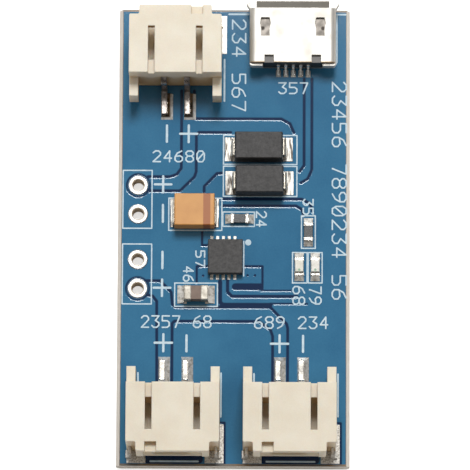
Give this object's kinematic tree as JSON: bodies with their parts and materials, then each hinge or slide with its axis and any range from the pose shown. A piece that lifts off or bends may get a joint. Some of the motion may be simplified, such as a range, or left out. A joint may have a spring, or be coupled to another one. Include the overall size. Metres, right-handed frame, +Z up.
{
  "type": "lithium battery charger module",
  "caption": "Small blue circuit board with side-entry wire sockets, a folded power port, diodes, a tantalum capacitor, a charging chip, indicator lamps and plated holes.",
  "frame": {"origin": "centre of the circuit board's underside", "axes": "+Y towards the power port's mouth along the board's length, +Z up from the board to the components, +X to the right with the power port at the far end"},
  "size_m": [0.0202, 0.0409, 0.0071],
  "materials": {
    "board": "glossy blue solder mask over a glass fibre laminate",
    "plating": "bright tinned plating",
    "cream_moulding": "satin cream moulding",
    "tinned_wire": "bright tinned wire and sheet",
    "solder": "wetted solder",
    "port_shell": "bright nickel plated sheet",
    "port_insert": "black moulding",
    "contact_metal": "thinly gilt sheet",
    "epoxy": "matt black moulding compound",
    "tinned_lead": "dull tinned sheet",
    "tantalum_moulding": "satin ochre moulding compound",
    "end_caps": "tinned end caps",
    "capacitor_ceramic": "unglazed brown ceramic",
    "resistor_glaze": "black glaze",
    "lamp_base": "white laminate",
    "left_lens": "cast lens with a pale green tint",
    "right_lens": "cast clear lens"
  },
  "bodies": {
    "root": {"battery_minus_eyelet": "plating", "battery_plus_eyelet": "plating", "battery_socket_housing": "cream_moulding", "battery_socket_left_tab": "tinned_wire", "battery_socket_minus_pin": "tinned_wire", "battery_socket_plus_pin": "tinned_wire", "battery_socket_right_tab": "tinned_wire", "battery_socket_solder": "solder", "charger_chip_body": "epoxy", "charger_chip_heat_pad": "contact_metal", "charger_chip_leads": "contact_metal", "charger_chip_solder": "solder", "chip_capacitor_caps": "end_caps", "chip_capacitor_core": "capacitor_ceramic", "chip_capacitor_solder": "solder", "circuit_board": "board", "left_lamp_base": "lamp_base", "left_lamp_lens": "left_lens", "left_lamp_solder": "solder", "left_lamp_terminals": "end_caps", "lower_diode_body": "epoxy", "lower_diode_left_lead": "tinned_lead", "lower_diode_right_lead": "tinned_lead", "lower_diode_solder": "solder", "output_socket_housing": "cream_moulding", "output_socket_left_tab": "tinned_wire", "output_socket_minus_pin": "tinned_wire", "output_socket_plus_pin": "tinned_wire", "output_socket_right_tab": "tinned_wire", "output_socket_solder": "solder", "panel_minus_eyelet": "plating", "panel_plus_eyelet": "plating", "panel_socket_housing": "cream_moulding", "panel_socket_left_tab": "tinned_wire", "panel_socket_minus_pin": "tinned_wire", "panel_socket_plus_pin": "tinned_wire", "panel_socket_right_tab": "tinned_wire", "panel_socket_solder": "solder", "power_port_contacts": "contact_metal", "power_port_insert": "port_insert", "power_port_shell": "port_shell", "power_port_solder": "solder", "right_lamp_base": "lamp_base", "right_lamp_lens": "right_lens", "right_lamp_solder": "solder", "right_lamp_terminals": "end_caps", "right_resistor_caps": "end_caps", "right_resistor_core": "resistor_glaze", "right_resistor_solder": "solder", "tantalum_capacitor_body": "tantalum_moulding", "tantalum_capacitor_left_terminal": "tinned_lead", "tantalum_capacitor_right_terminal": "tinned_lead", "tantalum_capacitor_solder": "solder", "upper_diode_body": "epoxy", "upper_diode_left_lead": "tinned_lead", "upper_diode_right_lead": "tinned_lead", "upper_diode_solder": "solder", "upper_resistor_caps": "end_caps", "upper_resistor_core": "resistor_glaze", "upper_resistor_solder": "solder"}
  },
  "joints": []
}
